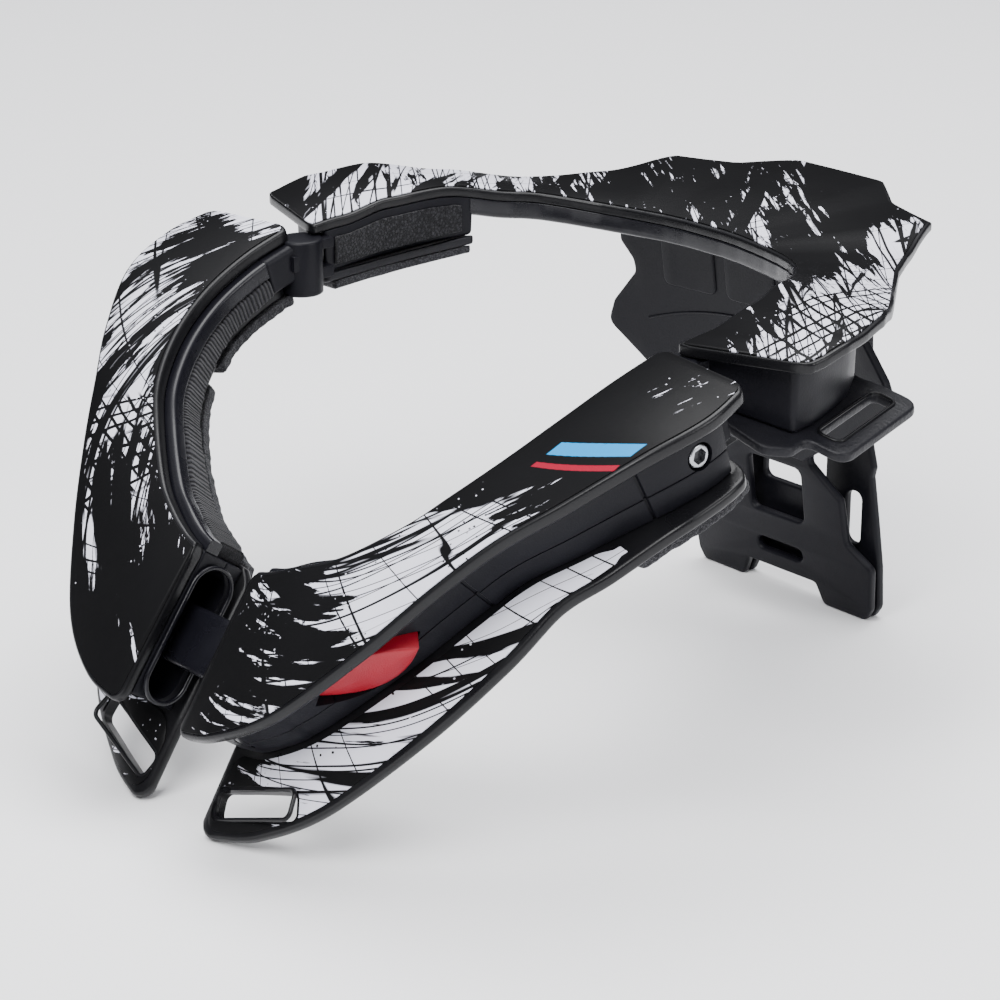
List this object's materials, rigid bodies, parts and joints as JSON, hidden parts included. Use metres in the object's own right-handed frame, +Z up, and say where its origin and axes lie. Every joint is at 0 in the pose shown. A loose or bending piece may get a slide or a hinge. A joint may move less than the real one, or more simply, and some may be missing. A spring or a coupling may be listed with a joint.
{
  "type": "motocross neck brace",
  "caption": "Open neck brace for motocross: rear deck with back frame and hinged front halves that close with a catch, padded inside, with strap slots.",
  "frame": {"origin": "centre of the outline on the floor that the chest plates and the back frame stand on", "axes": "+Z up, the wearer faces -Y, +X is the wearer's left"},
  "size_m": [0.2702, 0.312, 0.1564],
  "materials": {
    "shell_plastic": "satin near-black moulded plastic",
    "arch_plastic": "glossy black moulded plastic",
    "graphic_film": "printed film, bluish white on black",
    "foam": "dark grey fabric-faced foam",
    "loop_fabric": "black loop fabric",
    "button_plastic": "satin red plastic",
    "steel": "plated steel"
  },
  "bodies": {
    "rear": {"rear_deck": "shell_plastic", "rear_graphic": "graphic_film", "rear_arch": "arch_plastic", "arm_box_left": "shell_plastic", "arm_box_right": "shell_plastic", "hinge_pin_left": "steel", "hinge_pin_right": "steel", "base_plate_left": "shell_plastic", "base_plate_right": "shell_plastic", "base_foam_left": "foam", "base_foam_right": "foam", "rear_pad_left": "loop_fabric", "rear_pad_right": "loop_fabric", "back_panel": "shell_plastic", "back_frame_front": "shell_plastic", "back_frame_rear": "shell_plastic"},
    "left_front": {"front_deck_left": "shell_plastic", "front_graphic_left": "graphic_film", "upper_shell_left": "shell_plastic", "lower_shell_left": "shell_plastic", "chest_plate_left": "shell_plastic", "chest_graphic_left": "graphic_film", "shoulder_foam_left": "foam", "chest_foam_left": "foam", "neck_pad_left": "loop_fabric", "side_bolt_left": "steel", "catch_tongue": "shell_plastic"},
    "right_front": {"front_deck_right": "shell_plastic", "front_graphic_right": "graphic_film", "upper_shell_right": "shell_plastic", "lower_shell_right": "shell_plastic", "chest_plate_right": "shell_plastic", "chest_graphic_right": "graphic_film", "shoulder_foam_right": "foam", "chest_foam_right": "foam", "neck_pad_right": "loop_fabric", "side_bolt_right": "steel"},
    "button": {"release_button": "button_plastic"}
  },
  "joints": [
    {"name": "left_hinge", "type": "hinge", "parent": "rear", "child": "left_front", "pos_m": [0.09, -0.02, 0.138], "axis": [0, 0, 1], "range_deg": [0, 25]},
    {"name": "right_hinge", "type": "hinge", "parent": "rear", "child": "right_front", "pos_m": [-0.09, -0.02, 0.138], "axis": [0, 0, -1], "range_deg": [0, 25]},
    {"name": "button_press", "type": "slide", "parent": "left_front", "child": "button", "axis": [-0.6751, 0.4917, 0.55], "range_m": [0, 0.0035], "stiffness_N_per_m": 600}
  ]
}
